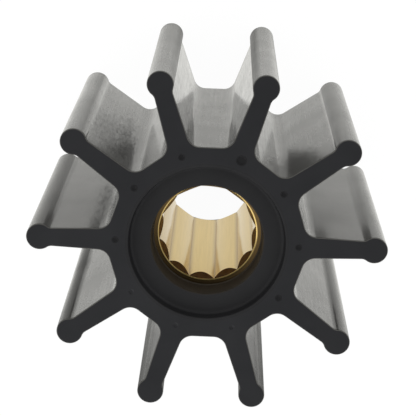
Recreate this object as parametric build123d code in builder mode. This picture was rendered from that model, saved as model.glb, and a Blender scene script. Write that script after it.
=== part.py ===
# Impeller of a flexible-vane pump: ten rubber vanes with round tips on a ten-sided hub,
# moulded in one piece around a brass bush with a splined bore.
# It stands on one end. Z is the axis it turns about, and z = 0 is the lower end face.
# Every length is in millimetres.
from build123d import *
from math import cos, radians, sqrt
import os

os.makedirs("parts", exist_ok=True)

# Driving dimensions of the rubber
outside_diameter = 95.0
body_length = 80.0
vane_count = 10
tip_radius = 3.5
neck_half_width = 2.35
root_half_width = 3.0
hub_flat_distance = 25.85
root_fillet = 3.5
neck_fillet = 2.2

# Recess in each end of the hub, and the round opening that leads down to the bush
recess_radius = 20.7
recess_depth = 3.0
recess_draft = 0.5
recess_edge_chamfer = 0.35
recess_foot_round = 0.9
opening_radius = 15.25
opening_draft = 0.4
opening_edge_chamfer = 0.45

# A thin lip of rubber at the foot of the opening, which laps over the end of the bush
lip_radius = 14.35
lip_thickness = 0.3

# Marks left by the pins that push the rubber out of its mould, on the upper end only
pin_mark_distance = 24.1
pin_mark_radius = 0.85
pin_mark_depth = 0.6
large_mark_radius = 1.3
large_mark_number = 7
large_mark_slip = -1.6

# Driving dimensions of the brass bush
bush_radius = 16.0
bush_inset = 10.3
spline_count = 12
groove_radius = 13.05
tooth_radius = 12.05
spline_turn = 10.0
mouth_radius = 13.4
mouth_depth = 0.4
lead_in_depth = 3.3

# How far a corner may lie from where it is looked for, and how far a cut runs past what it cuts
corner_slack = 1.0
overrun = 0.4

# Worked out from the driving dimensions
tip_distance = outside_diameter / 2 - tip_radius
neck_distance = tip_distance - sqrt(tip_radius**2 - neck_half_width**2)
vane_pitch = 360.0 / vane_count
hub_corner_distance = hub_flat_distance / cos(radians(vane_pitch / 2))
bush_length = body_length - 2 * bush_inset
spline_pitch = 360.0 / spline_count
throat_radius = opening_radius - opening_draft
floor_radius = recess_radius - recess_draft

# Both ends are alike, so a turned profile is drawn for the lower half and mirrored here
middle = Plane.XZ.offset(-body_length / 2)


def at(distance, angle):
    """Point in the XY plane at a distance from the axis and an angle in degrees."""
    return Vector(distance, 0).rotate(Axis.Z, angle)


def near(distance):
    """Test for a corner of the outline that lies about this far from the axis."""
    return lambda corner: abs(Vector(corner.X, corner.Y).length - distance) < corner_slack


def at_radius(radius):
    """Test for a corner of a turned profile that lies at this radius."""
    return lambda corner: abs(corner.X - radius) < 0.01


# The rubber: one outline of hub, vanes and round tips, drawn the whole length of the mould
with BuildPart() as rubber_body:
    with BuildSketch() as outline:
        RegularPolygon(hub_flat_distance, vane_count, major_radius=False)
        with PolarLocations(0, vane_count):
            # Each vane grows thinner from the hub to the neck behind its tip
            Polygon(
                (0, root_half_width),
                (hub_flat_distance, root_half_width),
                (tip_distance, neck_half_width),
                (tip_distance, -neck_half_width),
                (hub_flat_distance, -root_half_width),
                (0, -root_half_width),
                align=None,
            )
        with PolarLocations(tip_distance, vane_count):
            Circle(tip_radius)
        roots = outline.vertices().filter_by(near(hub_corner_distance))
        fillet(roots, root_fillet)
        necks = outline.vertices().filter_by(near(neck_distance))
        fillet(necks, neck_fillet)
    extrude(amount=body_length)

    # The recesses, the openings and the seat of the bush, turned about the axis
    with BuildSketch(Plane.XZ) as cavity:
        with BuildLine():
            Polyline(
                (0, 0),
                (recess_radius, 0),
                (floor_radius, recess_depth),
                (opening_radius, recess_depth),
                (throat_radius, bush_inset - lip_thickness),
                (lip_radius, bush_inset - lip_thickness),
                (lip_radius, bush_inset),
                (bush_radius, bush_inset),
                (bush_radius, body_length / 2),
                (0, body_length / 2),
                close=True,
            )
        make_face()
        feet = cavity.vertices().filter_by(at_radius(floor_radius))
        fillet(feet, recess_foot_round)
        lips = cavity.vertices().filter_by(at_radius(opening_radius))
        chamfer(lips, opening_edge_chamfer)
        mirror(about=middle)
    revolve(axis=Axis.Z, mode=Mode.SUBTRACT)

    # The rims of the two recesses are broken, as a mould leaves them
    rims = rubber_body.edges().filter_by(GeomType.CIRCLE).filter_by(
        lambda edge: abs(edge.radius - recess_radius) < 0.01
    )
    chamfer(rims, recess_edge_chamfer)

    # One pin mark on the hub in line with each vane, and one of them larger and a little off line
    with BuildSketch(Plane.XY.offset(body_length)):
        for vane in range(vane_count):
            if vane != large_mark_number:
                with Locations(at(pin_mark_distance, vane * vane_pitch)):
                    Circle(pin_mark_radius)
        with Locations(at(pin_mark_distance, large_mark_number * vane_pitch + large_mark_slip)):
            Circle(large_mark_radius)
    extrude(amount=-pin_mark_depth, mode=Mode.SUBTRACT)

# The bush: a brass tube with twelve splines, open to the same lead-in at both ends
with BuildPart() as splined_bush:
    with BuildSketch(Plane.XY.offset(bush_inset)):
        Circle(bush_radius)
        # The grooves are sharp and each tooth between them is a low round crest
        with BuildLine():
            for tooth in range(spline_count):
                first = spline_turn + tooth * spline_pitch
                ThreePointArc(
                    at(groove_radius, first),
                    at(tooth_radius, first + spline_pitch / 2),
                    at(groove_radius, first + spline_pitch),
                )
        make_face(mode=Mode.SUBTRACT)
    extrude(amount=bush_length)

    # A narrow bevel round the mouth, and a steep lead-in that cuts the ends of the teeth
    lead_in_slope = (lead_in_depth - mouth_depth) / (groove_radius - tooth_radius)
    cut_radius = tooth_radius - overrun
    cut_depth = mouth_depth + (groove_radius - cut_radius) * lead_in_slope
    with BuildSketch(Plane.XZ) as mouth:
        with BuildLine():
            Polyline(
                (0, bush_inset),
                (mouth_radius, bush_inset),
                (groove_radius, bush_inset + mouth_depth),
                (cut_radius, bush_inset + cut_depth),
                (0, bush_inset + cut_depth),
                close=True,
            )
        make_face()
        mirror(about=middle)
    revolve(axis=Axis.Z, mode=Mode.SUBTRACT)

rubber_body.part.label = "rubber_body"
splined_bush.part.label = "splined_bush"
export_step(rubber_body.part, "parts/rubber_body.step")
export_step(splined_bush.part, "parts/splined_bush.step")

for piece in (rubber_body.part, splined_bush.part):
    box = piece.bounding_box()
    print(piece.label, "volume", round(piece.volume), "size", box.size, "valid", piece.is_valid)
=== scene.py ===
# %% [markdown]
# A pump impeller, dressed for its picture. It is a star of black rubber, moulded round a brass
# bush. The construction is loaded first as a fixed frame, and everything below is built around it
# in metres. The length and the width of the two real pieces are read from that frame, so the
# picture can't drift away from the part.

# %% Load the frame and measure it
from math import atan2, cos, hypot, pi, radians, sin, sqrt, tan

import bmesh
import bpy
from mathutils import Matrix, Vector
from mathutils.geometry import intersect_line_line_2d, intersect_line_sphere_2d


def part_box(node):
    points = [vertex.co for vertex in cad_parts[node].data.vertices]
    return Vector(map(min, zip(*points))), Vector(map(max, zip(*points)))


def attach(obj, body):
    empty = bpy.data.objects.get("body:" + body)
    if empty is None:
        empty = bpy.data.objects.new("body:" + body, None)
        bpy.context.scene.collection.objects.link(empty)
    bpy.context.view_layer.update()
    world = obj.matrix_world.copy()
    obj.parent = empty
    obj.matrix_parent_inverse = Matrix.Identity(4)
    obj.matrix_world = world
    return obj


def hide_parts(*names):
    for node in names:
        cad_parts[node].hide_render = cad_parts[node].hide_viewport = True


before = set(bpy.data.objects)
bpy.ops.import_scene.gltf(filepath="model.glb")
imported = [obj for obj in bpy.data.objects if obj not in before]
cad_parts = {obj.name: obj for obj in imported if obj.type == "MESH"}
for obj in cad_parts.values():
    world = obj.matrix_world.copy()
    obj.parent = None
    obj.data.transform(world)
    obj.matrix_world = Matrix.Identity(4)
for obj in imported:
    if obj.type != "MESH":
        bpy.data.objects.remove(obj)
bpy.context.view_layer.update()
MM = 0.001
ORIGIN = Vector((0, 0, 0))
AXIS = Vector((0, 0, 1))

body_low, body_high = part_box("rubber_body")
_, bush_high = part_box("splined_bush")
body_length = body_high.z - body_low.z
outside_radius = body_high.x
bush_radius = bush_high.x
bush_top = bush_high.z
mid_height = body_length / 2
print("body", round(outside_radius * 2 / MM, 2), "mm across and", round(body_length / MM, 2), "mm long")
print("bush", round(bush_radius * 2 / MM, 2), "mm across, its end at", round(bush_top / MM, 2), "mm")

# %% [markdown]
# The outline of the rubber is one vane drawn ten times. Half a vane is the flat of the hub, a
# round at the root, the side of the vane, a round at the neck and then the round tip. A list of
# points would do, but every round would be a guess. Here a single vertex is swept instead: a
# straight stretch adds an edge, and the spin operator turns the vertex round a centre, so each
# round has its true radius and meets its neighbours without a kink. Smooth shading spreads over
# whole faces, so a straight run also gets a holding vertex near either end, which keeps the
# shading of a round from creeping along the flat beside it.

# %% Helpers that draw with one vertex
def of_kind(items, kind):
    """Those of an operator's results that are vertices, or faces, as asked."""
    return [item for item in items if isinstance(item, kind)]


def run_to(bm, vertex, point, hold):
    """A straight run from a vertex to a point, with a holding vertex close to either end."""
    along = Vector(point) - vertex.co
    step = along.normalized() * min(hold, along.length / 3)
    for stop in (vertex.co + step, Vector(point) - step, Vector(point)):
        end = bm.verts.new(stop)
        bm.edges.new((vertex, end))
        vertex = end
    return vertex


def turn_round(bm, vertex, centre, angle, steps, axis=AXIS):
    """Sweeps a vertex round a centre. Gives the vertex at the end of the arc."""
    swept = bmesh.ops.spin(
        bm, geom=[vertex], cent=centre, axis=axis, angle=angle, steps=steps, use_duplicate=False
    )
    return of_kind(swept["geom_last"], bmesh.types.BMVert)[0]


def angle_between(start, end):
    """The signed turn from one flat direction to another, counter-clockwise positive."""
    return atan2(start.x * end.y - start.y * end.x, start.x * end.x + start.y * end.y)


# %% The sizes of a vane
vane_count = 10
half_pitch = pi / vane_count
tip_radius = 3.5 * MM
tip_distance = outside_radius - tip_radius
hub_flat = 25.85 * MM
root_half_width = 3.0 * MM
neck_half_width = 2.35 * MM
root_round = 3.5 * MM
neck_round = 2.2 * MM
print("a vane stands", round((outside_radius - hub_flat) / MM, 2), "mm out from the hub")

# %% Find the centres of the two rounds
flat_out = Vector((cos(half_pitch), sin(half_pitch)))
flat_along = Vector((flat_out.y, -flat_out.x))
side_start = Vector((hub_flat, root_half_width))
side_end = Vector((tip_distance, neck_half_width))
side_out = Vector((side_start.y - side_end.y, side_end.x - side_start.x)).normalized()

# The root's round touches the flat and the side, so its centre is where both, moved out, cross
above_flat = flat_out * (hub_flat + root_round)
root_centre = intersect_line_line_2d(
    above_flat, above_flat + flat_along * tip_distance,
    side_start + side_out * root_round - (side_end - side_start), side_end + side_out * root_round,
)

# The neck's round touches the side and the tip, and is found in the same way
tip_centre = Vector((tip_distance, 0))
crossings = intersect_line_sphere_2d(
    side_start + side_out * neck_round, side_end + side_out * neck_round,
    tip_centre, tip_radius + neck_round, True,
)
neck_centre = next(point for point in crossings if point is not None)
to_tip = (tip_centre - neck_centre).normalized()
print("root round", round(root_centre.length / MM, 2), "mm from the axis")
print("neck round", round(neck_centre.length / MM, 2), "mm from the axis")

# %% Draw half a vane
root_steps, neck_steps, tip_steps = 12, 8, 18
hold = 0.3 * MM


def half_vane(bm):
    """Half the outline of one vane, from the middle of the hub's flat to the end of the tip."""
    pen = bm.verts.new((flat_out * hub_flat).to_3d())
    pen = run_to(bm, pen, (root_centre - flat_out * root_round).to_3d(), hold)
    turn = angle_between(-flat_out, -side_out)
    pen = turn_round(bm, pen, root_centre.to_3d(), turn, root_steps)
    pen = run_to(bm, pen, (neck_centre - side_out * neck_round).to_3d(), hold)
    turn = angle_between(-side_out, to_tip)
    pen = turn_round(bm, pen, neck_centre.to_3d(), turn, neck_steps)
    turn = angle_between(-to_tip, Vector((1, 0)))
    turn_round(bm, pen, tip_centre.to_3d(), turn, tip_steps)


# %% Mirror it, turn it ten times and close the star
merge_distance = 0.002 * MM


def star_outline(bm):
    """The closed outline of the hub with its vanes, at the height of the lower end."""
    half_vane(bm)
    bmesh.ops.mirror(
        bm, geom=bm.verts[:] + bm.edges[:], matrix=Matrix(), axis="Y", merge_dist=merge_distance
    )
    bmesh.ops.spin(
        bm, geom=bm.verts[:] + bm.edges[:], cent=ORIGIN, axis=AXIS, angle=2 * pi, steps=vane_count,
        use_duplicate=True,
    )
    bmesh.ops.remove_doubles(bm, verts=bm.verts[:], dist=merge_distance)
    return bmesh.ops.contextual_create(bm, geom=bm.edges[:])["faces"][0]


moulding = bmesh.new()
star = star_outline(moulding)
print("outline with", len(star.verts), "points, round", round(star.calc_area() / MM**2), "square mm")

# %% [markdown]
# The long sides of the rubber are made by pushing that star up by the length of the part. An
# extrusion keeps every line straight along the axis, as the mould does. It is made in three
# pushes, so that a loop of edges lies close to each end and holds the shading of the long sides.

# %% Push the star up
rim_hold = 0.6 * MM


def push_up(bm, cap):
    """Raises the star to the length of the part, with a holding loop near each end."""
    for push in (rim_hold, body_length - 2 * rim_hold, rim_hold):
        pushed = bmesh.ops.extrude_face_region(bm, geom=[cap, *cap.edges])["geom"]
        cap = of_kind(pushed, bmesh.types.BMFace)[0]
        bmesh.ops.translate(bm, verts=of_kind(pushed, bmesh.types.BMVert), vec=AXIS * push)
    bmesh.ops.recalc_face_normals(bm, faces=bm.faces[:])


push_up(moulding, star)
print("pushed up into", len(moulding.faces), "faces")

# %% [markdown]
# The end faces of a moulded and trimmed impeller have almost sharp edges, but never razor sharp
# ones, so both rims get a round of a fifth of a millimetre with the bevel operator. An inset
# behind each round keeps a narrow flat border, which stops the smooth shading of the round from
# spreading over the end face. The rest of each end is opened again, because the recess and the
# marks have to be let into it. Each face is also given its look here, as the number of a material.

# %% Round the rims
rim_round = 0.2 * MM
rim_border = 0.3 * MM
rim_segments = 3
MOULDED, TRIMMED, INSIDE, DULL = 0, 1, 2, 3


def on_height(item, height):
    """Whether an edge or a face lies flat at this height."""
    return all(abs(vertex.co.z - height) < merge_distance for vertex in item.verts)


def in_an_end(item):
    """Whether an edge or a face lies flat in one of the two end faces."""
    return on_height(item, 0) or on_height(item, body_length)


def round_rims(bm):
    """Rounds both rims, leaves a flat border behind each, and opens the rest of the ends."""
    rims = [edge for edge in bm.edges if in_an_end(edge)]
    bmesh.ops.bevel(
        bm, geom=rims, offset=rim_round, offset_type="OFFSET", affect="EDGES", segments=rim_segments,
        profile=0.5, material=-1, clamp_overlap=True,
    )
    ends = [face for face in bm.faces if in_an_end(face)]
    bmesh.ops.inset_individual(bm, faces=ends, thickness=rim_border, depth=0, use_even_offset=True)
    bmesh.ops.delete(bm, geom=[face for face in ends if face.is_valid], context="FACES_ONLY")
    for face in bm.faces:
        face.material_index = TRIMMED if in_an_end(face) else MOULDED


round_rims(moulding)
print("with rounded rims,", len(moulding.faces), "faces")

# %% [markdown]
# Everything round the axis is turned: the recess in each end, the opening below it, and the hidden
# seat of the bush. A cylinder could be cut out with a boolean, but that leaves thin odd faces
# where it meets the star. Instead one profile is drawn as a chain of straight runs, with a radius
# where the mould has one, and the spin operator turns it once round. The same helper later turns
# the mouth of the bush and the small marks that the mould's pins left on the hub.

# %% A profile with rounded corners, and one full turn of it
SIDEWAYS = Vector((0, -1, 0))


def profile_path(bm, corners, steps=6):
    """A chain of edges in the XZ plane through (radius, height, round) corners."""
    points = [Vector((radius, 0, height)) for radius, height, _ in corners]
    pen = bm.verts.new(points[0])
    for before, here, after, (_, _, bend) in zip(points, points[1:], points[2:], corners[1:]):
        if not bend:
            pen = run_to(bm, pen, here, hold)
            continue
        arrive, leave = (here - before).normalized(), (after - here).normalized()
        turn = arrive.angle(leave)
        axis = SIDEWAYS if arrive.cross(leave).dot(SIDEWAYS) > 0 else -SIDEWAYS
        start = here - arrive * bend * tan(turn / 2)
        pen = run_to(bm, pen, start, bend / 2)
        pen = turn_round(bm, pen, start + axis.cross(arrive) * bend, turn, steps, axis)
    run_to(bm, pen, points[-1], hold)


def turned(bm, edges, steps):
    """Turns a chain of edges once round the axis and closes the seam."""
    bmesh.ops.spin(
        bm, geom=edges, cent=ORIGIN, axis=AXIS, angle=2 * pi, steps=steps, use_merge=True,
        use_duplicate=False,
    )


def added_since(bm, known):
    """The vertices, edges and faces that were added since these edges were noted down."""
    verts = [vertex for vertex in bm.verts if known.isdisjoint(vertex.link_edges)]
    edges = [edge for edge in bm.edges if edge not in known]
    faces = [face for face in bm.faces if known.isdisjoint(face.edges)]
    return verts, edges, faces


# %% The profile of the recess, the opening and the seat
recess_radius, recess_depth = 20.7 * MM, 3.0 * MM
recess_draft = 0.5 * MM
recess_rim_round, recess_foot_round = 0.3 * MM, 0.9 * MM
opening_radius, opening_draft = 14.9 * MM, 0.25 * MM
opening_rim_round, opening_foot_round = 0.4 * MM, 0.25 * MM
lip_radius, lip_thickness, lip_round = 14.35 * MM, 0.3 * MM, 0.15 * MM
face_border = 0.5 * MM

recess_profile = [
    (recess_radius + recess_rim_round + face_border, body_length, 0),
    (recess_radius, body_length, recess_rim_round),
    (recess_radius - recess_draft, body_length - recess_depth, recess_foot_round),
    (opening_radius, body_length - recess_depth, opening_rim_round),
    (opening_radius - opening_draft, bush_top + lip_thickness, opening_foot_round),
    (lip_radius, bush_top + lip_thickness, lip_round),
    (lip_radius, bush_top, 0),
    (bush_radius, bush_top, 0),
    (bush_radius, mid_height, 0),
]
print("recess", round(recess_radius * 2 / MM, 2), "mm across and", round(recess_depth / MM, 2), "mm deep")

# %% Turn it for the upper end and mirror it for the lower one
ring_steps = 128
dull_from, dull_to = 0.1 * MM, recess_depth - 0.7 * MM


def mirrored_down(bm, upper_half):
    """Repeats the upper half of something as its lower half."""
    bmesh.ops.mirror(
        bm, geom=upper_half, matrix=Matrix.Translation(-AXIS * mid_height), axis="Z",
        merge_dist=merge_distance,
    )


def turned_cavity(bm):
    """The turned inside of the rubber. The wall of each recess gets the dull look."""
    known = set(bm.edges)
    profile_path(bm, recess_profile)
    turned(bm, [edge for edge in bm.edges if edge not in known], ring_steps)
    verts, edges, faces = added_since(bm, known)
    for face in faces:
        below_rim = body_length - face.calc_center_median().z
        face.material_index = DULL if dull_from < below_rim < dull_to else INSIDE
    mirrored_down(bm, verts + edges + faces)


turned_cavity(moulding)
print("with its inside,", len(moulding.faces), "faces")

# %% [markdown]
# When the mould opens, ten pins push the rubber out, one in line with each vane, and each leaves a
# shallow round dent in the upper end. They aren't all alike: three are faint, and one is larger
# and a little off line. A dark dot in the material would look painted, so each one is a turned
# dent with a sloping wall, made at the axis and then moved to its place.

# %% The sizes of the pin marks
mark_distance = 24.1 * MM
mark_depths = [0.3, 0.25, 0.15, 0.25, 0.3, 0.35, 0.35, 0.4, 0.35, 0.3]
mark_radius, large_mark_radius = 0.75 * MM, 1.25 * MM
mark_wall, mark_border = 0.35 * MM, 0.2 * MM
mark_rim_round, mark_foot_round = 0.15 * MM, 0.3 * MM
faint_marks = [1, 2, 3]
large_mark, large_mark_slip = 7, radians(-1.6)
mark_steps, mark_corner_steps = 24, 4
print(len(mark_depths), "marks", min(mark_depths), "to", max(mark_depths), "mm deep")


# %% Turn the pin marks
def pin_mark(bm, angle, radius, depth, look):
    """A shallow round dent in the upper end, where a pin pushed the rubber out of its mould."""
    known = set(bm.edges)
    profile = [
        (radius + mark_border, body_length, 0),
        (radius, body_length, mark_rim_round),
        (radius - mark_wall, body_length - depth, mark_foot_round),
        (0, body_length - depth, 0),
    ]
    profile_path(bm, profile, mark_corner_steps)
    turned(bm, [edge for edge in bm.edges if edge not in known], mark_steps)
    verts, _, faces = added_since(bm, known)
    for face in faces:
        face.material_index = look
    place = Vector((cos(angle), sin(angle), 0)) * mark_distance
    bmesh.ops.translate(bm, verts=verts, vec=place)
    bmesh.ops.remove_doubles(bm, verts=verts, dist=merge_distance)


for vane in range(vane_count):
    angle, depth = vane * 2 * half_pitch, mark_depths[vane] * MM
    if vane == large_mark:
        pin_mark(moulding, angle + large_mark_slip, large_mark_radius, depth, DULL)
    else:
        pin_mark(moulding, angle, mark_radius, depth, TRIMMED if vane in faint_marks else DULL)
print("with the pin marks,", len(moulding.faces), "faces")

# %% [markdown]
# The end face is what is left between the star, the recess and the marks. Those are closed loops
# of edges, all at one height, and the triangle fill operator takes loops inside a loop as holes.
# The lower end is filled in the same way and has no marks. Then whatever lies on one spot is
# joined, so that the rubber is one closed skin, and every face is turned outwards.

# %% Fill the two ends and close the rubber
def fill_end(bm, height, normal):
    """Fills one end face between the open loops at its height."""
    loops = [edge for edge in bm.edges if edge.is_boundary and on_height(edge, height)]
    filled = bmesh.ops.triangle_fill(
        bm, use_beauty=True, use_dissolve=False, edges=loops, normal=normal
    )
    for face in of_kind(filled["geom"], bmesh.types.BMFace):
        face.material_index = TRIMMED


def close_and_smooth(bm):
    """Joins what lies on one spot, turns every face outwards and shades them all smoothly."""
    bmesh.ops.remove_doubles(bm, verts=bm.verts[:], dist=merge_distance)
    bmesh.ops.recalc_face_normals(bm, faces=bm.faces[:])
    for face in bm.faces:
        face.smooth = True


def measure(bm, name):
    """Prints how many faces a piece has, and that it is closed."""
    open_edges = sum(1 for edge in bm.edges if len(edge.link_faces) != 2)
    print(name, len(bm.faces), "faces,", open_edges, "open edges, volume",
          round(bm.calc_volume() / MM**3), "cubic mm")


fill_end(moulding, body_length, AXIS)
fill_end(moulding, 0, -AXIS)
close_and_smooth(moulding)
measure(moulding, "rubber_moulding")

# %% [markdown]
# Some tips look duller than others in the photograph, two of them more so towards the lower end,
# and most grow duller towards the neck. The tips are taken as worn, from rubbing along the wall of
# the pump, and the duller necks as painted shade, with less of the skin's sheen. It could be painted
# on a picture of the surface. Since it follows the form of the tips, though, it is worked out for
# each vertex and stored in the mesh as a layer of numbers. The rims get a layer too, for a painted
# highlight, a thin pale line along them. The material reads both layers by their names.

# %% How worn and how shaded each tip is
# Vane by vane: wear of the tip, and the painted shade that its neck adds. The lower end adds some on two
# vanes
tip_wear = [0.6, 0.2, 0.3, 0.3, 0.0, 0.0, 0.45, 0.2, 0.3, 0.15]
painted_neck_shade = [0.6, 1.5, 0.4, 0.4, 0.3, 0.2, 0.7, 1.5, 0.95, 1.1]
lower_end_dulling = {7: 0.65, 8: 0.75}

# The neck's painted shade sets in between two angles, in degrees round the tip from its outermost line
usual_neck = (55, 110)
early_necks = {7: (30, 70), 8: (35, 80)}

# One neck gets a painted highlight, a shinier line at its very end
painted_neck_highlight = {9: 1.2}
highlight_from, highlight_to = radians(88), radians(102)


def eased(value, start, stop):
    """Rises smoothly from nought to one between start and stop."""
    share = min(max((value - start) / (stop - start), 0), 1)
    return share * share * (3 - 2 * share)


def wear_and_shade_of_tip(vane, past, height):
    """How worn a tip is, with the painted shade and highlight of its neck, this far round from its
    outermost line and this high up.
    """
    start, stop = early_necks.get(vane, usual_neck)
    return (
        tip_wear[vane] + lower_end_dulling.get(vane, 0) * (1 - height / body_length)
        + painted_neck_shade[vane] * eased(past, radians(start), radians(stop))
        - painted_neck_highlight.get(vane, 0) * eased(past, highlight_from, highlight_to)
    )


for vane in range(vane_count):
    print("vane", vane, "is worn", tip_wear[vane], "at the tip and",
          round(wear_and_shade_of_tip(vane, pi / 2, 0), 2), "low down on its neck")

# %% Store the wear, the painted shade and the rims in the mesh
rim_from = hub_flat - rim_round * 2
rim_slack = rim_round * 1.2


def mark_wear_and_shade(bm):
    """Stores, per vertex, how worn and how shaded the tips are, and where a rim is."""
    worn_and_shaded = bm.verts.layers.float.new("worn_and_shaded")
    rim = bm.verts.layers.float.new("rim")
    for vertex in bm.verts:
        at_rim = min(vertex.co.z, body_length - vertex.co.z) < rim_round - merge_distance
        distance = hypot(vertex.co.x, vertex.co.y)
        if at_rim and distance > rim_from:
            vertex[rim] = 1
        vane, turn = divmod(atan2(vertex.co.y, vertex.co.x) + half_pitch, 2 * half_pitch)
        vane, turn = int(vane) % vane_count, turn - half_pitch
        from_tip = Vector((distance * cos(turn) - tip_distance, abs(distance * sin(turn))))
        if abs(from_tip.length - tip_radius) < (rim_slack if at_rim else merge_distance):
            vertex[worn_and_shaded] = wear_and_shade_of_tip(vane, atan2(from_tip.y, from_tip.x), vertex.co.z)
    print(sum(1 for vertex in bm.verts if vertex[rim]), "vertices lie on the rims")


mark_wear_and_shade(moulding)

# %% [markdown]
# The finished mesh becomes an object. It takes the place of the plain rubber solid of the frame,
# rides on the part's one body, and its slot says what it is made of. It stays at the origin, with
# its place in its mesh, so that a pattern that is laid out in object coordinates can't slide.

# %% Put the rubber in its place
def piece_from(bm, name):
    """Turns a finished bmesh into an object at the origin."""
    mesh = bpy.data.meshes.new(name)
    bm.to_mesh(mesh)
    bm.free()
    piece = bpy.data.objects.new(name, mesh)
    bpy.context.scene.collection.objects.link(piece)
    return piece


rubber = piece_from(moulding, "rubber_moulding")
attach(rubber, "root")
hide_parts("rubber_body")
print(rubber.name, "has", len(rubber.data.vertices), "vertices")

# %% [markdown]
# The bush is a brass tube. Its twelve splines are grooves with a sharp bottom and low round teeth
# between them, and both ends have a wide shallow mouth and a steep lead-in that slices the ends of
# the teeth off at an angle. A cutter leaves the wider of two radii: that of the lead-in, and that
# of the splines. So the mouth is turned first, with the lead-in going on past the teeth, and each
# vertex that would stand in a groove is then brought back along the lead-in to where they meet.

# %% The form of the splines
spline_count = 12
spline_turn = radians(10)
spline_pitch = 2 * pi / spline_count
groove_radius, tooth_radius = 13.05 * MM, 12.05 * MM

# A tooth is an arc through two grooves and its own crest
chord_half = groove_radius * sin(spline_pitch / 2)
crest_height = groove_radius * cos(spline_pitch / 2) - tooth_radius
crest_round = (chord_half**2 + crest_height**2) / (2 * crest_height)
crest_centre = tooth_radius + crest_round
print("crests have a radius of", round(crest_round / MM, 2), "mm")


def bore_radius(angle):
    """Distance from the axis to the splined wall, in this direction."""
    turn = (angle - spline_turn) % spline_pitch - spline_pitch / 2
    return crest_centre * cos(turn) - sqrt(crest_round**2 - (crest_centre * sin(turn))**2)


# %% Turn the outside, the end face and the mouth
mouth_radius, mouth_depth = 13.4 * MM, 0.33 * MM
dish_radius, dish_depth = 14.6 * MM, 0.12 * MM
lead_in_depth = 3.3 * MM
dish_round, mouth_round = 0.45 * MM, 0.1 * MM
samples_per_tooth = 24

mouth_profile = [
    (bush_radius, mid_height, 0),
    (bush_radius, bush_top, 0),
    (dish_radius, bush_top, 0),
    (mouth_radius, bush_top - dish_depth, dish_round),
    (groove_radius, bush_top - mouth_depth, mouth_round),
    (tooth_radius, bush_top - lead_in_depth, 0),
]

sleeve = bmesh.new()
profile_path(sleeve, mouth_profile)
turned(sleeve, sleeve.edges[:], spline_count * samples_per_tooth)
bmesh.ops.rotate(
    sleeve, verts=sleeve.verts[:], cent=ORIGIN, matrix=Matrix.Rotation(spline_turn, 3, "Z")
)
print("turned mouth with", len(sleeve.faces), "faces")


# %% Draw the splined wall down to the middle
def splined_wall(bm):
    """Draws the end of the lead-in down to mid-height, in the form of the splines."""
    lead_in_end = [
        edge for edge in bm.edges if edge.is_boundary and on_height(edge, bush_top - lead_in_depth)
    ]
    drawn = bmesh.ops.extrude_edge_only(bm, edges=lead_in_end)["geom"]
    for vertex in of_kind(drawn, bmesh.types.BMVert):
        direction = Vector((vertex.co.x, vertex.co.y, 0)).normalized()
        wall = bore_radius(atan2(direction.y, direction.x))
        vertex.co = direction * wall + AXIS * mid_height


splined_wall(sleeve)
print("with the splined wall,", len(sleeve.faces), "faces")


# %% Cut the lead-in back to the splines
def lead_in_height(radius):
    """Height of the lead-in where it has this radius."""
    share = (groove_radius - radius) / (groove_radius - tooth_radius)
    return bush_top - mouth_depth - share * (lead_in_depth - mouth_depth)


def cut_back_to_splines(bm):
    """Moves what would stand in a groove out along the lead-in, up to the splined wall."""
    for vertex in bm.verts:
        distance = hypot(vertex.co.x, vertex.co.y)
        wall = bore_radius(atan2(vertex.co.y, vertex.co.x))
        if distance < wall - merge_distance:
            direction = Vector((vertex.co.x, vertex.co.y, 0)) / distance
            height = max(vertex.co.z, lead_in_height(wall))
            vertex.co = direction * wall + AXIS * height


cut_back_to_splines(sleeve)
bmesh.ops.dissolve_degenerate(sleeve, edges=sleeve.edges[:], dist=merge_distance)
print("cut back to the splines,", len(sleeve.faces), "faces")

# %% [markdown]
# Both ends of the bush are alike, so the lower half is the upper one mirrored. Three tools leave
# three looks on the metal: the broach that cuts the splines, the steep cutter of the lead-in, and
# the lathe on the end face. How far a face looks up tells which tool made it. Edges with a clear
# bend stay sharp, so that a groove is a line and the round of a tooth still shades softly.

# %% Mirror the bush and tell its surfaces apart
BROACHED, LEAD_IN, TURNED = 0, 1, 2
broached_tilt, lead_in_tilt = 0.1, 0.45
crease = radians(14)

mirrored_down(sleeve, sleeve.verts[:] + sleeve.edges[:] + sleeve.faces[:])
close_and_smooth(sleeve)
for face in sleeve.faces:
    tilt = abs(face.normal.z)
    face.material_index = BROACHED if tilt < broached_tilt else LEAD_IN if tilt < lead_in_tilt else TURNED
for edge in sleeve.edges:
    edge.smooth = len(edge.link_faces) == 2 and edge.calc_face_angle() < crease
measure(sleeve, "spline_bush")

bush = piece_from(sleeve, "spline_bush")
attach(bush, "root")
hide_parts("splined_bush")

# %% [markdown]
# Rubber and brass share two effects. No surface is quite even, so one group gives a fine grain and
# slow patches. The other gives long streaks and short dashes along the axis, which is the way the
# rubber leaves its mould and the way the broach runs. Both come from noise on object coordinates,
# so nothing slides when the camera moves. A group is built once, and each material places it with
# its own sizes and uses the results where it needs them.

# %% Helpers for shader groups
def new_group(name, inputs, outputs):
    """An empty shader group with float inputs (name, value) and named float outputs."""
    group = bpy.data.node_groups.new(name, "ShaderNodeTree")
    for label, value in inputs:
        socket = group.interface.new_socket(label, in_out="INPUT", socket_type="NodeSocketFloat")
        socket.default_value = value
    for label in outputs:
        group.interface.new_socket(label, in_out="OUTPUT", socket_type="NodeSocketFloat")
    print("group", name, "puts out", " and ".join(outputs))
    return group, group.nodes.new("NodeGroupInput"), group.nodes.new("NodeGroupOutput")


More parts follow.
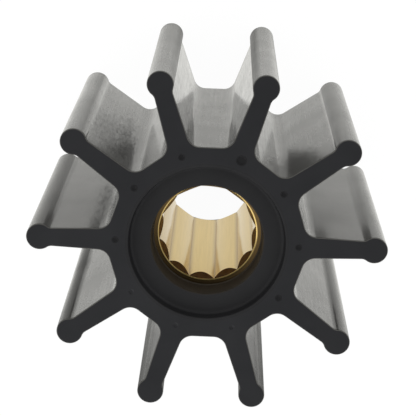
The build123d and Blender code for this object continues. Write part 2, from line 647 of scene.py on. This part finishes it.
def object_noise(tree, scale_from, detail, roughness, stretch=(1, 1, 1)):
    """Noise on object coordinates, with its scale taken from a socket."""
    place = tree.nodes.new("ShaderNodeTexCoord")
    squeeze = tree.nodes.new("ShaderNodeMapping")
    squeeze.inputs["Scale"].default_value = stretch
    noise = tree.nodes.new("ShaderNodeTexNoise")
    noise.inputs["Detail"].default_value = detail
    noise.inputs["Roughness"].default_value = roughness
    tree.links.new(place.outputs["Object"], squeeze.inputs["Vector"])
    tree.links.new(squeeze.outputs["Vector"], noise.inputs["Vector"])
    tree.links.new(scale_from, noise.inputs["Scale"])
    return noise.outputs["Fac"]


# %% A group for uneven surfaces
def uneven_surface():
    """Group: fine grain and slow patches, both from 0 to 1."""
    group, given, result = new_group(
        "uneven_surface", [("Grain Scale", 1200.0), ("Patch Scale", 60.0)], ["Grain", "Patches"]
    )
    grain = object_noise(group, given.outputs["Grain Scale"], detail=3, roughness=0.6)
    patches = object_noise(group, given.outputs["Patch Scale"], detail=4, roughness=0.55)
    group.links.new(grain, result.inputs["Grain"])
    group.links.new(patches, result.inputs["Patches"])
    return group


UNEVEN = uneven_surface()

# %% A group for streaks along the axis
long_stretch, short_stretch = (1, 1, 0.03), (1, 1, 0.2)


def long_streaks():
    """Group: fine streaks and short dashes along the turning axis, both from 0 to 1."""
    group, given, result = new_group("long_streaks", [("Streak Scale", 700.0)], ["Streaks", "Dashes"])
    scale = given.outputs["Streak Scale"]
    streaks = object_noise(group, scale, detail=4, roughness=0.6, stretch=long_stretch)
    dashes = object_noise(group, scale, detail=2, roughness=0.5, stretch=short_stretch)
    group.links.new(streaks, result.inputs["Streaks"])
    group.links.new(dashes, result.inputs["Dashes"])
    return group


LONG_STREAKS = long_streaks()


# %% [markdown]
# A material is a small chain of nodes, and the same links come again and again: turn one range of
# values into another, combine two values, blend two colours. Each of them is a short helper that
# takes sockets and gives a socket, so that a material below reads from top to bottom.

# %% Helpers for values and colours
def new_material(name):
    """A material with only a Principled shader, and its tree."""
    material = bpy.data.materials.new(name)
    material.use_nodes = True
    print("material", name)
    return material, material.node_tree, material.node_tree.nodes["Principled BSDF"]


def between(tree, value, low, high, start=0.0, stop=1.0):
    """Turns a value that runs from start to stop into one that runs from low to high."""
    node = tree.nodes.new("ShaderNodeMapRange")
    for label, number in (("From Min", start), ("From Max", stop), ("To Min", low), ("To Max", high)):
        node.inputs[label].default_value = number
    tree.links.new(value, node.inputs["Value"])
    return node.outputs["Result"]


def from_noise(tree, noise, low, high):
    """Turns noise, which seldom leaves the span from 0.3 to 0.7, into values from low to high."""
    return between(tree, noise, low, high, start=0.3, stop=0.7)


def combined(tree, operation, first, second):
    """Two values added, multiplied or compared."""
    node = tree.nodes.new("ShaderNodeMath")
    node.operation = operation
    tree.links.new(first, node.inputs[0])
    tree.links.new(second, node.inputs[1])
    return node.outputs[0]


def blend_colours(tree, value, first, second):
    """A colour between two, by a value from 0 to 1. Either may be fixed or come from a socket."""
    node = tree.nodes.new("ShaderNodeMix")
    node.data_type = "RGBA"
    for label, colour in (("A", first), ("B", second)):
        if isinstance(colour, bpy.types.NodeSocket):
            tree.links.new(colour, node.inputs[label])
        else:
            node.inputs[label].default_value = (*colour, 1)
    tree.links.new(value, node.inputs["Factor"])
    return node.outputs["Result"]


# %% Helpers for places and groups
def placed(tree, group, **values):
    """Places a shader group with its own values."""
    node = tree.nodes.new("ShaderNodeGroup")
    node.node_tree = group
    for label, number in values.items():
        node.inputs[label.replace("_", " ")].default_value = number
    return node


def stored(tree, name):
    """A value that was stored on the vertices of the mesh."""
    node = tree.nodes.new("ShaderNodeAttribute")
    node.attribute_name = name
    return node.outputs["Fac"]


def length_of(tree, mapping):
    """How long the vector is that object coordinates become after this mapping."""
    tree.links.new(tree.nodes.new("ShaderNodeTexCoord").outputs["Object"], mapping.inputs["Vector"])
    length = tree.nodes.new("ShaderNodeVectorMath")
    length.operation = "LENGTH"
    tree.links.new(mapping.outputs["Vector"], length.inputs[0])
    return length.outputs["Value"]


def off_axis(tree, start, stop):
    """Runs from nought to one between two distances from the axis."""
    flatten = tree.nodes.new("ShaderNodeMapping")
    flatten.inputs["Scale"].default_value = (1, 1, 0)
    return between(tree, length_of(tree, flatten), 0, 1, start, stop)


# %% [markdown]
# The rubber itself is matt and nearly black, with slow patches that are a little paler, and with a
# grain that is too fine to see but breaks up the light. Its four looks start from one function:
# the skin of the mould, the trimmed end face, the inside of the recess, and the dull wall and marks.

# %% Matt black rubber
def black_rubber(name, dark, pale, rough, grain_depth):
    """Matt black rubber with a soft grain and slow patches. Gives its colour as well."""
    material, tree, shader = new_material(name)
    uneven = placed(tree, UNEVEN, Grain_Scale=2500.0, Patch_Scale=90.0)
    colour = blend_colours(tree, from_noise(tree, uneven.outputs["Patches"], 0, 1), dark, pale)
    tree.links.new(colour, shader.inputs["Base Color"])
    shader.inputs["Roughness"].default_value = rough
    grain = tree.nodes.new("ShaderNodeBump")
    grain.inputs["Distance"].default_value = grain_depth
    tree.links.new(uneven.outputs["Grain"], grain.inputs["Height"])
    tree.links.new(grain.outputs["Normal"], shader.inputs["Normal"])
    return material, tree, shader, colour


# %% [markdown]
# The pockets between the vanes aren't evenly bright either. Their darker places are painted shade,
# as patches where the skin's sheen is turned down. Each patch is an egg-shaped place in object
# coordinates. A Mapping node of the texture kind moves its middle to nought and shrinks its reach to
# one, so the length of the vector says how far out a point lies. Some of the noise is added to that
# length, and the edge turns ragged.

# %% Where the skin has painted shade
# Middle and reach in mm, how much of the shine is lost, and how far from the middle it comes back
shaded_patches = [
    ((23.4, -20.6, 54), (3.3, 3.0, 36), 0.45, 0.1),
    ((26.5, -22.6, 63), (8.2, 7.8, 33), 0.5, 0.0),
    ((-22, -20, 77), (8, 7, 22), 0.65, 0.55),
    ((28.0, -3.0, 58), (3.6, 4, 38), 0.6, 0.1),
    ((36.1, 22.4, 30), (3, 3, 9), 0.45, 0.1),
    ((31.5, 20.5, 55), (7, 6, 24), 0.16, 0.1),
    ((-27, -22, 25), (9, 8, 26), 0.12, 0.1),
    ((-33, -2.7, 58), (8, 4, 12), 0.15, 0.1),
    ((7.3, -27, 45), (2.6, 4, 60), 0.38, 0.1),
    ((-6.6, -26.8, 45), (2.2, 3.5, 60), 0.2, 0.1),
]
patch_end = 1.1
raggedness = 0.4
print(len(shaded_patches), "smudges, the strongest takes", max(loss for _, _, loss, _ in shaded_patches), "of the shine")


def painted_shade_patch(tree, grain, centre, reach, loss, begin):
    """What a patch of painted shade leaves: one outside it, and less towards its ragged middle."""
    place = tree.nodes.new("ShaderNodeMapping")
    place.vector_type = "TEXTURE"
    place.inputs["Location"].default_value = Vector(centre) * MM
    place.inputs["Scale"].default_value = Vector(reach) * MM
    fade = raggedness * (patch_end - begin)
    ragged = combined(tree, "ADD", length_of(tree, place), from_noise(tree, grain, fade, -fade))
    return between(tree, ragged, 1 - loss, 1.0, begin, patch_end)


# %% [markdown]
# Against the mould the rubber gets a thin smooth skin. Looked at straight on it is black, and at a
# glance it mirrors the pale ground and looks silver. One even gloss would give neither, so the
# shader's coat is used as the skin, and its weight follows the Facing output of a Layer Weight
# node. That weight is multiplied by one share after another: streaks, dashes and clouds change it
# by a few hundredths, and the wear and painted shade of the tips and the patches of painted shade
# take more of it away. The rims are the one place where the rubber is painted paler, as a highlight.

# %% Rubber as the mould leaves it
glance_from, glance_to = 0.345, 0.98
# Colour of the painted highlight along the rims
rim_highlight_colour = (0.10, 0.098, 0.09)


def skin_shares(tree):
    """What the streaks, the clouds, the dashes, the wear and painted shade of the tips and the patches of
    painted shade leave of the skin.
    """
    skin = placed(tree, LONG_STREAKS, Streak_Scale=1500.0)
    clouds = placed(tree, UNEVEN, Patch_Scale=85.0)
    shares = [
        from_noise(tree, skin.outputs["Streaks"], 0.93, 1.07),
        from_noise(tree, clouds.outputs["Patches"], 0.93, 1.10),
        from_noise(tree, skin.outputs["Dashes"], 0.95, 1.05),
        # Wear of the tips, with painted shade and one painted highlight at the necks, as a share of the
        # skin
        between(tree, stored(tree, "worn_and_shaded"), 1.2, 0.2, start=-0.5, stop=2),
    ]
    return shares + [painted_shade_patch(tree, skin.outputs["Dashes"], *place) for place in shaded_patches]


def moulded_rubber():
    """Rubber as the mould leaves it: a thin even skin over the matt rubber."""
    material, tree, shader, colour = black_rubber(
        "moulded_rubber", (0.012, 0.012, 0.010), (0.026, 0.025, 0.022), rough=0.55, grain_depth=0.004 * MM
    )
    facing = tree.nodes.new("ShaderNodeLayerWeight").outputs["Facing"]
    weight = between(tree, facing, 0, 1, glance_from, glance_to)
    weight.node.interpolation_type = "SMOOTHSTEP"
    for share in skin_shares(tree):
        weight = combined(tree, "MULTIPLY", weight, share)
    # Along the rims the base colour is painted paler, as a highlight of the edge
    rim_highlighted = blend_colours(tree, stored(tree, "rim"), colour, rim_highlight_colour)
    tree.links.new(rim_highlighted, shader.inputs["Base Color"])
    tree.links.new(weight, shader.inputs["Coat Weight"])
    shader.inputs["Specular IOR Level"].default_value = 0.25
    shader.inputs["Coat Roughness"].default_value = 0.12
    shader.inputs["Coat IOR"].default_value = 1.5
    return material


rubber.data.materials.append(moulded_rubber())

# %% [markdown]
# The trimmed end face, the inside and the dull places show no skin, as if a knife took it off or it
# never formed. They differ only in how dark they are and in how much they shine. Next to the brass
# the rubber of the opening is painted brown, a painted reflection of the brass, so there the colour
# changes with the distance from the axis.

# %% Rubber without a skin
# Name, darkest and palest colour, and how much it shines, in the order of the looks above
rubber_looks = [
    ("trimmed_rubber", (0.011, 0.0115, 0.014), (0.015, 0.0155, 0.018), 0.42),
    ("inside_rubber", (0.0210, 0.0211, 0.0222), (0.0250, 0.0251, 0.0262), 0.15),
    ("dull_rubber", (0.0150, 0.0150, 0.0160), (0.0180, 0.0180, 0.0190), 0.15),
]
# A painted reflection of the brass, on the rubber of the opening next to it
brass_reflection = (0.050, 0.041, 0.030)
brass_reflection_from, brass_reflection_to = 14.7 * MM, 15.2 * MM

for name, dark, pale, sheen in rubber_looks:
    material, tree, shader, colour = black_rubber(name, dark, pale, rough=0.6, grain_depth=0.02 * MM)
    shader.inputs["Specular IOR Level"].default_value = sheen
    if name == "inside_rubber":
        # The rubber of the opening gets the painted reflection of the brass, brown close to the axis
        reflecting_brass = blend_colours(tree, off_axis(tree, brass_reflection_from, brass_reflection_to), brass_reflection, colour)
        tree.links.new(reflecting_brass, shader.inputs["Base Color"])
    rubber.data.materials.append(material)
print("rubber has", len(rubber.data.materials), "looks")

# %% [markdown]
# Brass is a metal, so it has no matt colour under its shine, and its base colour tints what it
# mirrors. The three tools give three tints and three degrees of polish, and the fine marks that
# they leave run along the axis, as streaks in the tint and in the roughness. The brass is painted
# darker deep in the grooves and outside the mouth, and along one side of the bore, all as painted
# shade. So the tint changes with the distance from the axis, and the helper for patches of painted
# shade is used once more.

# %% Brass
tool_mark_scale = 1600.0

# Painted shade on one side of the bore: middle and reach in mm, how much of the colour is lost, and how
# far from the middle it comes back
shaded_side_of_bore = ((12.5, 1, 40), (5, 8, 80), 0.4, 0.3)


def machined_brass(name, first, second, rough, tint_and_shade, tint_and_shade_from, tint_and_shade_to):
    """Brass with fine tool marks along the axis, and painted shade a given way off the axis and on one
    side.
    """
    material, tree, shader = new_material(name)
    marks = placed(tree, LONG_STREAKS, Streak_Scale=tool_mark_scale).outputs["Streaks"]
    bright = blend_colours(tree, from_noise(tree, marks, 0, 1), first, second)
    shaded_off_axis = blend_colours(tree, off_axis(tree, tint_and_shade_from, tint_and_shade_to), bright, tint_and_shade)
    shaded_on_one_side = blend_colours(tree, painted_shade_patch(tree, marks, *shaded_side_of_bore), tint_and_shade, shaded_off_axis)
    tree.links.new(shaded_on_one_side, shader.inputs["Base Color"])
    tree.links.new(from_noise(tree, marks, *rough), shader.inputs["Roughness"])
    shader.inputs["Metallic"].default_value = 1.0
    return material


# %% The three looks of the bush
# Further off the axis each look turns to a second colour: painted shade deep in the grooves and outside
# the mouth, and only a slight change of tint on the lead-in
brass_looks = {
    "broached_brass": dict(
        first=(0.50, 0.345, 0.085), second=(0.60, 0.425, 0.125), rough=(0.14, 0.20),
        tint_and_shade=(0.32, 0.22, 0.07), tint_and_shade_from=12.6 * MM, tint_and_shade_to=13.1 * MM,
    ),
    "lead_in_brass": dict(
        first=(0.34, 0.25, 0.16), second=(0.46, 0.35, 0.24), rough=(0.35, 0.45),
        tint_and_shade=(0.40, 0.30, 0.20), tint_and_shade_from=12 * MM, tint_and_shade_to=13 * MM,
    ),
    "turned_brass": dict(
        first=(0.68, 0.50, 0.18), second=(0.76, 0.56, 0.22), rough=(0.10, 0.16),
        tint_and_shade=(0.29, 0.19, 0.08), tint_and_shade_from=13.25 * MM, tint_and_shade_to=13.5 * MM,
    ),
}
for name, look in brass_looks.items():
    bush.data.materials.append(machined_brass(name, **look))
print("bush has", len(bush.data.materials), "looks")

# %% [markdown]
# The photograph has a pure white ground and no visible shadow. The floor is a dark disc under a
# white glow that only camera, glossy and transmission rays see, so it adds no light to the
# object's own colours. The long black sides look silver because rubber seen at a glance mirrors
# this white floor. The vanes at the lower edge of the picture look as if they mirror a darker
# ground, so for glossy rays the glow fades on that side.

# %% Which rays see what
def seen_by(tree, kinds):
    """One for rays of these kinds and nought for the others."""
    path = tree.nodes.new("ShaderNodeLightPath")
    total = path.outputs[kinds[0]]
    for kind in kinds[1:]:
        total = combined(tree, "MAXIMUM", total, path.outputs[kind])
    return total


# %% Floor
floor_radius, floor_segments = 1.5, 96
floor_gap = 0.02 * MM
floor_grey = (0.06, 0.06, 0.06, 1)
floor_light, mirrored_light, shaded_light = 0.965, 0.96, 0.26
shade_from, shade_to = 0.032, 0.052
white, warm_white = (1, 1, 1), (1, 0.995, 0.955)


def floor_glow(tree, shader):
    """Lets the floor glow for the camera and for mirrors, and fade for mirrors at one side."""
    in_mirrors = seen_by(tree, ["Is Glossy Ray"])
    tree.links.new(blend_colours(tree, in_mirrors, white, warm_white), shader.inputs["Emission Color"])
    plainly = between(tree, seen_by(tree, ["Is Camera Ray", "Is Transmission Ray"]), 0, floor_light)
    across = tree.nodes.new("ShaderNodeSeparateXYZ")
    tree.links.new(tree.nodes.new("ShaderNodeTexCoord").outputs["Object"], across.inputs[0])
    fading = between(tree, across.outputs["Y"], mirrored_light, shaded_light, shade_from, shade_to)
    mirrored = combined(tree, "MULTIPLY", in_mirrors, fading)
    tree.links.new(combined(tree, "MAXIMUM", plainly, mirrored), shader.inputs["Emission Strength"])


def white_floor():
    """A large disc that looks white and still takes a faint shadow."""
    bm = bmesh.new()
    bmesh.ops.create_circle(bm, cap_ends=True, radius=floor_radius, segments=floor_segments)
    bmesh.ops.translate(bm, verts=bm.verts[:], vec=-AXIS * floor_gap)
    floor = piece_from(bm, "floor")
    material, tree, shader = new_material("pale_floor")
    shader.inputs["Base Color"].default_value = floor_grey
    shader.inputs["Roughness"].default_value = 1.0
    shader.inputs["Specular IOR Level"].default_value = 0.0
    floor_glow(tree, shader)
    floor.data.materials.append(material)
    return floor


floor = white_floor()
print("floor", floor_radius * 2, "m across")

# %% [markdown]
# The world is what lies round the part. Rays that only light it see a plain white, a little under
# full strength, and the camera sees white itself. Mirrored rays see a pale band round the horizon
# and a soft window on one side, with a dark ceiling above, and that is what gives the brass and the
# end face their bright and dark sides. Mixing by Light Path keeps the three apart.

# %% A window and a pale horizon for the mirrors
def toward(tree, direction, aim):
    """How nearly a direction points this way: one straight at it, nought at a right angle."""
    node = tree.nodes.new("ShaderNodeVectorMath")
    node.operation = "DOT_PRODUCT"
    node.inputs[1].default_value = Vector(aim).normalized()
    tree.links.new(direction, node.inputs[0])
    return node.outputs["Value"]


window_aim = (0.35, 0.94, 0)
world = bpy.data.worlds.new("studio")
bpy.context.scene.world = world
world.use_nodes = True
tree = world.node_tree
direction = tree.nodes.new("ShaderNodeTexCoord").outputs["Generated"]
window = between(tree, toward(tree, direction, window_aim), 0.03, 0.83, start=0.05, stop=0.65)
window.node.interpolation_type = "SMOOTHSTEP"
horizon = between(tree, toward(tree, direction, AXIS), 1.0, 0.0, start=0.35, stop=0.75)
surround = combined(tree, "MAXIMUM", window, horizon)

# %% Three lights for three kinds of rays
plain_strength = 0.9


def white_light(node, strength=1.0):
    """Makes a background node white, with this strength."""
    node.inputs["Color"].default_value = (*white, 1)
    node.inputs["Strength"].default_value = strength
    return node.outputs["Background"]


def choose(tree, kinds, others, chosen):
    """A background for rays of these kinds, and another one for the rest."""
    node = tree.nodes.new("ShaderNodeMixShader")
    tree.links.new(seen_by(tree, kinds), node.inputs["Fac"])
    tree.links.new(others, node.inputs[1])
    tree.links.new(chosen, node.inputs[2])
    return node.outputs[0]


plain = white_light(tree.nodes["Background"], plain_strength)
mirrored = white_light(tree.nodes.new("ShaderNodeBackground"))
tree.links.new(surround, mirrored.node.inputs["Strength"])
ground = white_light(tree.nodes.new("ShaderNodeBackground"))
seen = choose(tree, ["Is Glossy Ray"], plain, mirrored)
seen = choose(tree, ["Is Camera Ray", "Is Transmission Ray"], seen, ground)
tree.links.new(seen, tree.nodes["World Output"].inputs["Surface"])
print("world", world.name, "with", len(tree.nodes), "nodes")

# %% [markdown]
# One lamp gives the light its direction. It is a large square, because a large source has soft
# shadows and soft highlights, as the photograph has. It hangs above the part, beyond the lower
# left of the picture.

# %% Lamp
def soft_lamp(name, place, target, size, power):
    """A large square lamp aimed at a point."""
    data = bpy.data.lights.new(name, "AREA")
    data.size = size
    data.energy = power
    lamp = bpy.data.objects.new(name, data)
    lamp.location = place
    lamp.rotation_euler = (Vector(target) - Vector(place)).to_track_quat("-Z", "Y").to_euler()
    bpy.context.scene.collection.objects.link(lamp)
    print("lamp", name, "of", power, "watts")


soft_lamp("key", place=(0.62, 0.6, 0.6), target=(0, 0, 0.04), size=1.0, power=1.6)

# %% [markdown]
# The camera repeats the photograph's view. It looks down at the upper end from a little off the
# axis, and the picture is turned nearly upside down against the part's own frame. Its place and its
# three directions come from fitting a plain lens to the outlines of both end faces.

# %% Camera
camera_place = Vector((-1.76, -121.77, 492.84)) * MM
picture_right = Vector((-0.99909, -0.03977, -0.01527))
picture_up = Vector((0.04238, -0.96425, -0.26159))
data = bpy.data.cameras.new("camera")
data.sensor_width = 36.0
data.lens = 142.06
camera = bpy.data.objects.new("camera", data)
bpy.context.scene.collection.objects.link(camera)
turned_to = Matrix((picture_right, picture_up, picture_right.cross(picture_up))).transposed()
camera.matrix_world = Matrix.Translation(camera_place) @ turned_to.to_4x4()
bpy.context.scene.camera = camera
bpy.context.scene.view_settings.view_transform = "Standard"
print("camera", round(camera_place.length / MM), "mm from the middle of the lower end")
